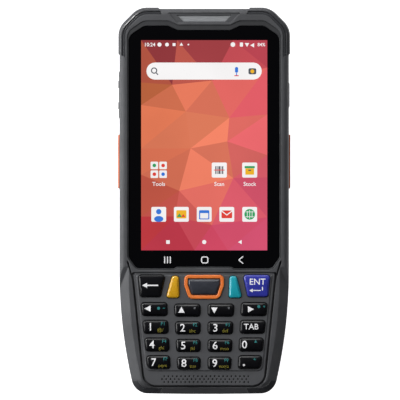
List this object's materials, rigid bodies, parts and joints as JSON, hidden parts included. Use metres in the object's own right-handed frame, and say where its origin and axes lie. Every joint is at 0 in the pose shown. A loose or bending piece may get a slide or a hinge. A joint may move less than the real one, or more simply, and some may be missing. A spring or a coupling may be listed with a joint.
{
  "type": "portable barcode data terminal",
  "caption": "Rugged hand-held data terminal with touch display, keypad, side scan triggers, end-facing scan window and a removable battery behind a hinged door.",
  "frame": {"origin": "middle of the rear rest face, under the middle of the outline", "axes": "+Z out of the display, +Y to the scan end, +X to the right seen from the front"},
  "size_m": [0.071, 0.159, 0.0224],
  "materials": {
    "housing_plastic": "fine spark-eroded texture",
    "deck_plastic": "fine spark-eroded texture",
    "bumper_tpu": "matt",
    "trim_tpu": "satin",
    "silicone": "matt",
    "cover_glass": "polished",
    "window_glass": "polished",
    "display": "lit",
    "mesh_steel": "woven",
    "ring_orange": "moulded",
    "circuit_board": "solder mask",
    "chassis_magnesium": "as cast",
    "plated_steel": "plated",
    "module_black": "moulded",
    "contact_gold": "plated",
    "screw_steel": "blackened",
    "insert_brass": "turned",
    "trigger_orange": "moulded",
    "side_key_plastic": "moulded",
    "battery_case": "moulded",
    "key_black_plastic": "gloss",
    "key_yellow_plastic": "gloss",
    "key_teal_plastic": "gloss",
    "key_blue_plastic": "gloss"
  },
  "bodies": {
    "root": {"front_housing": "housing_plastic", "rear_housing": "housing_plastic", "housing_gasket": "silicone", "keypad_deck": "deck_plastic", "glass_trim": "trim_tpu", "touch_glass": "cover_glass", "display_panel": "display", "earpiece_mesh": "mesh_steel", "receiver": "module_black", "scan_key_ring": "ring_orange", "keypad_mat": "silicone", "keypad_board": "circuit_board", "mid_chassis": "chassis_magnesium", "main_board": "circuit_board", "board_shields": "plated_steel", "scan_engine": "module_black", "scan_window": "window_glass", "bumper_top_left": "bumper_tpu", "bumper_top_right": "bumper_tpu", "bumper_bottom_left": "bumper_tpu", "bumper_bottom_right": "bumper_tpu", "camera_module": "module_black", "camera_lenses": "window_glass", "loudspeaker": "module_black", "usb_socket": "plated_steel", "battery_contacts": "module_black", "charging_contacts": "contact_gold", "housing_screws": "screw_steel", "grip_inserts": "insert_brass", "side_switches": "circuit_board", "vibration_motor": "plated_steel"},
    "key_back": {"key_back": "key_black_plastic"},
    "key_yellow": {"key_yellow": "key_yellow_plastic"},
    "key_scan": {"key_scan": "key_black_plastic"},
    "key_teal": {"key_teal": "key_teal_plastic"},
    "key_enter": {"key_enter": "key_blue_plastic"},
    "key_left": {"key_left": "key_black_plastic"},
    "key_up": {"key_up": "key_black_plastic"},
    "key_down": {"key_down": "key_black_plastic"},
    "key_right": {"key_right": "key_black_plastic"},
    "key_1": {"key_1": "key_black_plastic"},
    "key_2": {"key_2": "key_black_plastic"},
    "key_3": {"key_3": "key_black_plastic"},
    "key_tab": {"key_tab": "key_black_plastic"},
    "key_4": {"key_4": "key_black_plastic"},
    "key_5": {"key_5": "key_black_plastic"},
    "key_6": {"key_6": "key_black_plastic"},
    "key_0": {"key_0": "key_black_plastic"},
    "key_7": {"key_7": "key_black_plastic"},
    "key_8": {"key_8": "key_black_plastic"},
    "key_9": {"key_9": "key_black_plastic"},
    "key_dot": {"key_dot": "key_black_plastic"},
    "scan_button_left": {"scan_button_left": "trigger_orange"},
    "scan_button_right": {"scan_button_right": "trigger_orange"},
    "volume_rocker": {"volume_rocker": "side_key_plastic"},
    "power_key": {"power_key": "side_key_plastic"},
    "usb_cover": {"usb_cover": "bumper_tpu"},
    "battery_door": {"battery_door": "housing_plastic"},
    "battery_pack": {"battery_pack": "battery_case"},
    "door_screw": {"door_screw": "screw_steel"}
  },
  "joints": [
    {"name": "key_back_press", "type": "slide", "parent": "root", "child": "key_back", "axis": [0, 0, -1], "range_m": [0, 0.0006], "stiffness_N_per_m": 300},
    {"name": "key_yellow_press", "type": "slide", "parent": "root", "child": "key_yellow", "axis": [0, 0, -1], "range_m": [0, 0.0006], "stiffness_N_per_m": 300},
    {"name": "key_scan_press", "type": "slide", "parent": "root", "child": "key_scan", "axis": [0, 0, -1], "range_m": [0, 0.0006], "stiffness_N_per_m": 300},
    {"name": "key_teal_press", "type": "slide", "parent": "root", "child": "key_teal", "axis": [0, 0, -1], "range_m": [0, 0.0006], "stiffness_N_per_m": 300},
    {"name": "key_enter_press", "type": "slide", "parent": "root", "child": "key_enter", "axis": [0, 0, -1], "range_m": [0, 0.0006], "stiffness_N_per_m": 300},
    {"name": "key_left_press", "type": "slide", "parent": "root", "child": "key_left", "axis": [0, 0, -1], "range_m": [0, 0.0006], "stiffness_N_per_m": 300},
    {"name": "key_up_press", "type": "slide", "parent": "root", "child": "key_up", "axis": [0, 0, -1], "range_m": [0, 0.0006], "stiffness_N_per_m": 300},
    {"name": "key_down_press", "type": "slide", "parent": "root", "child": "key_down", "axis": [0, 0, -1], "range_m": [0, 0.0006], "stiffness_N_per_m": 300},
    {"name": "key_right_press", "type": "slide", "parent": "root", "child": "key_right", "axis": [0, 0, -1], "range_m": [0, 0.0006], "stiffness_N_per_m": 300},
    {"name": "key_1_press", "type": "slide", "parent": "root", "child": "key_1", "axis": [0, 0, -1], "range_m": [0, 0.0006], "stiffness_N_per_m": 300},
    {"name": "key_2_press", "type": "slide", "parent": "root", "child": "key_2", "axis": [0, 0, -1], "range_m": [0, 0.0006], "stiffness_N_per_m": 300},
    {"name": "key_3_press", "type": "slide", "parent": "root", "child": "key_3", "axis": [0, 0, -1], "range_m": [0, 0.0006], "stiffness_N_per_m": 300},
    {"name": "key_tab_press", "type": "slide", "parent": "root", "child": "key_tab", "axis": [0, 0, -1], "range_m": [0, 0.0006], "stiffness_N_per_m": 300},
    {"name": "key_4_press", "type": "slide", "parent": "root", "child": "key_4", "axis": [0, 0, -1], "range_m": [0, 0.0006], "stiffness_N_per_m": 300},
    {"name": "key_5_press", "type": "slide", "parent": "root", "child": "key_5", "axis": [0, 0, -1], "range_m": [0, 0.0006], "stiffness_N_per_m": 300},
    {"name": "key_6_press", "type": "slide", "parent": "root", "child": "key_6", "axis": [0, 0, -1], "range_m": [0, 0.0006], "stiffness_N_per_m": 300},
    {"name": "key_0_press", "type": "slide", "parent": "root", "child": "key_0", "axis": [0, 0, -1], "range_m": [0, 0.0006], "stiffness_N_per_m": 300},
    {"name": "key_7_press", "type": "slide", "parent": "root", "child": "key_7", "axis": [0, 0, -1], "range_m": [0, 0.0006], "stiffness_N_per_m": 300},
    {"name": "key_8_press", "type": "slide", "parent": "root", "child": "key_8", "axis": [0, 0, -1], "range_m": [0, 0.0006], "stiffness_N_per_m": 300},
    {"name": "key_9_press", "type": "slide", "parent": "root", "child": "key_9", "axis": [0, 0, -1], "range_m": [0, 0.0006], "stiffness_N_per_m": 300},
    {"name": "key_dot_press", "type": "slide", "parent": "root", "child": "key_dot", "axis": [0, 0, -1], "range_m": [0, 0.0006], "stiffness_N_per_m": 300},
    {"name": "scan_left_press", "type": "slide", "parent": "root", "child": "scan_button_left", "axis": [1, 0, 0], "range_m": [0, 0.0005], "stiffness_N_per_m": 500},
    {"name": "scan_right_press", "type": "slide", "parent": "root", "child": "scan_button_right", "axis": [-1, 0, 0], "range_m": [0, 0.0005], "stiffness_N_per_m": 500},
    {"name": "power_press", "type": "slide", "parent": "root", "child": "power_key", "axis": [-1, 0, 0], "range_m": [0, 0.0005], "stiffness_N_per_m": 500},
    {"name": "volume_rock", "type": "hinge", "parent": "root", "child": "volume_rocker", "pos_m": [-0.0324, 0.0435, 0.0153], "axis": [0, 0, 1], "range_deg": [-2.5, 2.5], "stiffness_Nm_per_rad": 0.3},
    {"name": "usb_cover_swing", "type": "hinge", "parent": "root", "child": "usb_cover", "pos_m": [-0.01165, -0.07875, 0.0156], "axis": [0, 0, -1], "range_deg": [0, 95]},
    {"name": "battery_door_swing", "type": "hinge", "parent": "root", "child": "battery_door", "pos_m": [0, 0.0166, 0.0014], "axis": [1, 0, 0], "range_deg": [0, 95]},
    {"name": "battery_tilt", "type": "hinge", "parent": "root", "child": "battery_pack", "pos_m": [0, 0.011, 0.0028], "axis": [1, 0, 0], "range_deg": [0, 28.5]},
    {"name": "door_screw_turn", "type": "hinge", "parent": "battery_door", "child": "door_screw", "pos_m": [0, -0.061, 0.0014], "axis": [0, 0, 1], "continuous": true}
  ],
  "couplings": [
    {"joint": "battery_tilt", "follows": "battery_door_swing", "ratio": 0.3}
  ]
}
